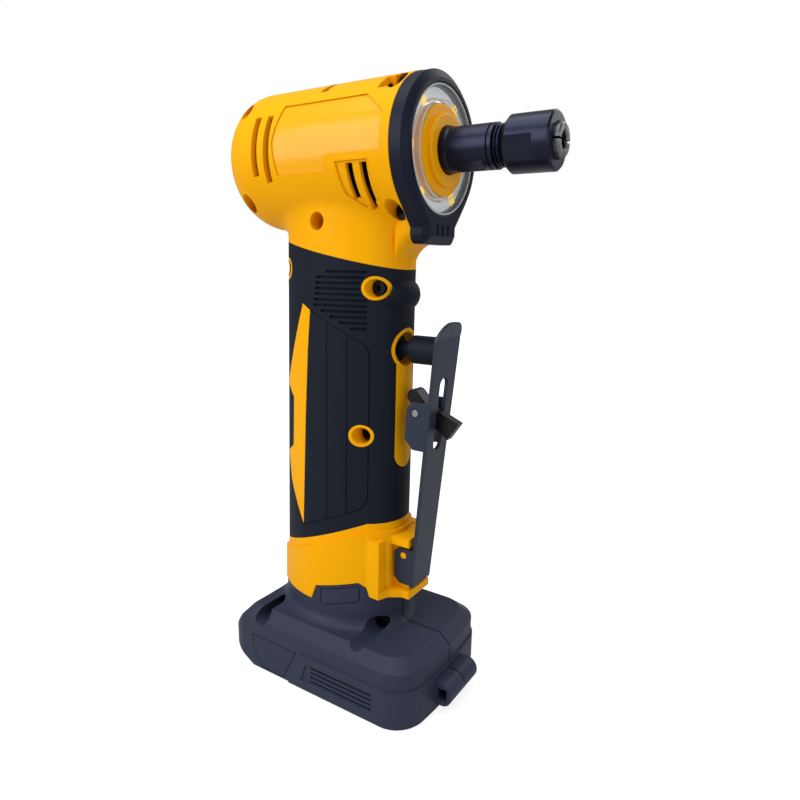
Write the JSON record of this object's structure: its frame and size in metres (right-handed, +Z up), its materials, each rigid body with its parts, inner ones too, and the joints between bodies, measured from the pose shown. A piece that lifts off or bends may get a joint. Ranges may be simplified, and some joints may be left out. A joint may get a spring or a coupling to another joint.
{
  "type": "cordless right-angle die grinder",
  "caption": "Hand-held cordless die grinder: motor head across the top of an upright grip, collet on the spindle, lever switch down the front and a foot that takes a slide-on battery.",
  "frame": {"origin": "bottom centre of the bounding box, on the plane that the foot stands on", "axes": "+X forward along the spindle, +Z up the grip, the housing halves meet on Y = 0"},
  "size_m": [0.1518, 0.073, 0.2774],
  "materials": {
    "yellow_plastic": "fine texture",
    "grip_rubber": "matt",
    "dark_plastic": "fine texture",
    "clear_plastic": "clear",
    "lamp": "gloss",
    "board": "satin",
    "black_steel": "black oxide",
    "collet_steel": "black oxide",
    "lever_paint": "satin black",
    "bright_steel": "ground",
    "lamination": "satin",
    "magnet": "plated",
    "copper": "bright",
    "inner_plastic": "matt",
    "aluminium": "satin",
    "lead_cover": "matt"
  },
  "bodies": {
    "tool_body": {"housing_right": "yellow_plastic", "housing_left": "yellow_plastic", "grip_cover_right": "grip_rubber", "grip_cover_left": "grip_rubber", "foot_right": "dark_plastic", "foot_left": "dark_plastic", "foot_side_pads": "grip_rubber", "led_bezel": "dark_plastic", "led_lens": "clear_plastic", "led_board": "board", "led_chips": "lamp", "nose_hub": "yellow_plastic", "front_bearing_outer_ring": "bright_steel", "rear_bearing_outer_ring": "bright_steel", "stator_core": "lamination", "stator_coils": "copper", "stator_insulators": "inner_plastic", "sensor_board": "board", "trigger_switch": "inner_plastic", "controller_board": "board", "controller_tray": "aluminium", "power_transistors": "inner_plastic", "capacitors": "aluminium", "terminal_block": "inner_plastic", "terminal_blades": "copper", "motor_leads": "lead_cover", "power_leads": "lead_cover", "housing_screws": "black_steel", "foot_screws": "black_steel", "plunger_spring": "bright_steel"},
    "spindle": {"spindle": "black_steel", "rotor_core": "lamination", "rotor_magnets": "magnet", "cooling_fan": "inner_plastic", "front_bearing_inner_ring": "bright_steel", "rear_bearing_inner_ring": "bright_steel"},
    "bearing_balls": {"front_bearing_balls": "bright_steel", "rear_bearing_balls": "bright_steel"},
    "collet": {"collet": "collet_steel"},
    "collet_nut": {"collet_nut": "black_steel"},
    "lever": {"trigger_lever": "lever_paint", "lock_pin": "bright_steel", "lock_spring": "bright_steel"},
    "lock": {"lock_tab": "dark_plastic"},
    "plunger": {"plunger": "dark_plastic"}
  },
  "joints": [
    {"name": "spindle_spin", "type": "hinge", "parent": "tool_body", "child": "spindle", "pos_m": [-0.02225, 0, 0.247], "axis": [1, 0, 0], "continuous": true},
    {"name": "ball_spin", "type": "hinge", "parent": "tool_body", "child": "bearing_balls", "pos_m": [-0.02225, 0, 0.247], "axis": [1, 0, 0], "continuous": true},
    {"name": "collet_slide", "type": "slide", "parent": "spindle", "child": "collet", "axis": [1, 0, 0], "range_m": [0, 0.0015]},
    {"name": "nut_turn", "type": "hinge", "parent": "collet", "child": "collet_nut", "pos_m": [0.06275, 0, 0.247], "axis": [1, 0, 0], "range_deg": [0, 360]},
    {"name": "lever_press", "type": "hinge", "parent": "tool_body", "child": "lever", "pos_m": [0.01485, 0, 0.0696], "axis": [0, -1, 0], "range_deg": [0, 5.5], "stiffness_Nm_per_rad": 2, "springref_deg": -1.15},
    {"name": "plunger_slide", "type": "slide", "parent": "tool_body", "child": "plunger", "axis": [-1, 0, 0], "range_m": [0, 0.0088], "deforming": ["plunger_spring"]},
    {"name": "lock_flip", "type": "hinge", "parent": "lever", "child": "lock", "pos_m": [0.02075, 0, 0.1386], "axis": [0, 1, 0], "range_deg": [0, 45]}
  ],
  "couplings": [
    {"joint": "ball_spin", "follows": "spindle_spin", "ratio": 0.4},
    {"joint": "nut_turn", "follows": "collet_slide", "rad_per_m": 4188.8},
    {"joint": "plunger_slide", "follows": "lever_press", "m_per_rad": 0.0885},
    {"joint": "lock_flip", "follows": "lever_press", "ratio": 8}
  ]
}
